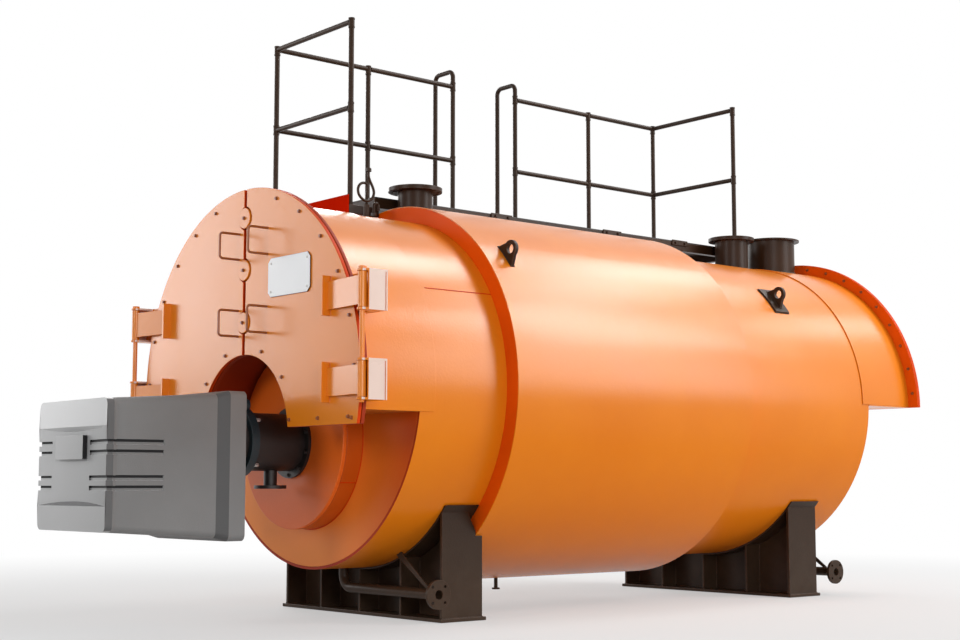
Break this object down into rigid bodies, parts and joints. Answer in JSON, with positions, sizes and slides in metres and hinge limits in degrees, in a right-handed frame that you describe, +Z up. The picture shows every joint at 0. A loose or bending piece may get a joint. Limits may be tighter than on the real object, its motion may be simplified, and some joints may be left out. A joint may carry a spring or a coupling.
{
  "type": "industrial steam boiler",
  "caption": "Horizontal fire-tube steam boiler on two saddles, with hinged smokebox doors, a burner, crown nozzles, blowdown pipes and a railed walkway with ladder.",
  "frame": {"origin": "on the floor under the middle of the front saddle, on the boiler's centre line", "axes": "+X to the right as seen from the front, +Y from the burner end to the rear, +Z up"},
  "size_m": [2.5069, 6.0015, 3.8029],
  "materials": {
    "orange_paint": "glossy orange paint with a slight orange peel",
    "dark_paint": "satin brown-black paint",
    "burner_grey": "fine textured grey coating",
    "burner_black": "black coated casting",
    "plate_white": "white enamelled plate"
  },
  "bodies": {
    "boiler": {"boiler_shell": "orange_paint", "front_tube_plate": "orange_paint", "rear_tube_plate": "orange_paint", "furnace_mouth": "orange_paint", "burner_plate": "orange_paint", "jacket_cladding": "orange_paint", "jacket_end_rings": "orange_paint", "smokebox_wrapper": "orange_paint", "smokebox_arch": "orange_paint", "smokebox_floors": "orange_paint", "door_frame": "orange_paint", "seam_bosses": "orange_paint", "hinge_brackets": "orange_paint", "rear_hood": "orange_paint", "rear_hood_floor": "orange_paint", "rear_hood_flange": "orange_paint", "rear_cover": "orange_paint", "front_toe_board": "orange_paint", "front_saddle": "dark_paint", "rear_saddle": "dark_paint", "saddle_wear_plates": "dark_paint", "steam_nozzle": "dark_paint", "safety_nozzle": "dark_paint", "flue_outlet": "dark_paint", "siphon": "dark_paint", "front_lifting_lugs": "dark_paint", "rear_lifting_lugs": "dark_paint", "front_blowdown": "dark_paint", "rear_blowdown": "dark_paint", "blowdown_braces": "dark_paint", "jacket_drain": "dark_paint", "deck_beams": "dark_paint", "deck_plate": "dark_paint", "deck_legs": "dark_paint", "railing_posts": "dark_paint", "top_rails": "dark_paint", "mid_rails": "dark_paint", "ladder_stringers": "dark_paint", "ladder_rungs": "dark_paint", "ladder_brackets": "dark_paint", "hinge_pins": "orange_paint", "burner_housing": "burner_grey", "burner_cover": "burner_grey", "burner_badge": "burner_grey", "blast_tube": "burner_black", "burner_flange": "burner_black", "gas_inlet": "burner_black"},
    "right_door_leaf": {"right_door": "orange_paint", "right_hinge_straps": "orange_paint", "right_handles": "orange_paint", "name_plate": "plate_white"},
    "left_door_leaf": {"left_door": "orange_paint", "left_hinge_straps": "orange_paint", "left_handles": "orange_paint"}
  },
  "joints": [
    {"name": "right_door_hinge", "type": "hinge", "parent": "boiler", "child": "right_door_leaf", "pos_m": [1.209, -1.019, 0], "axis": [0, 0, 1], "range_deg": [0, 110]},
    {"name": "left_door_hinge", "type": "hinge", "parent": "boiler", "child": "left_door_leaf", "pos_m": [-1.209, -1.019, 0], "axis": [0, 0, -1], "range_deg": [0, 110]}
  ]
}
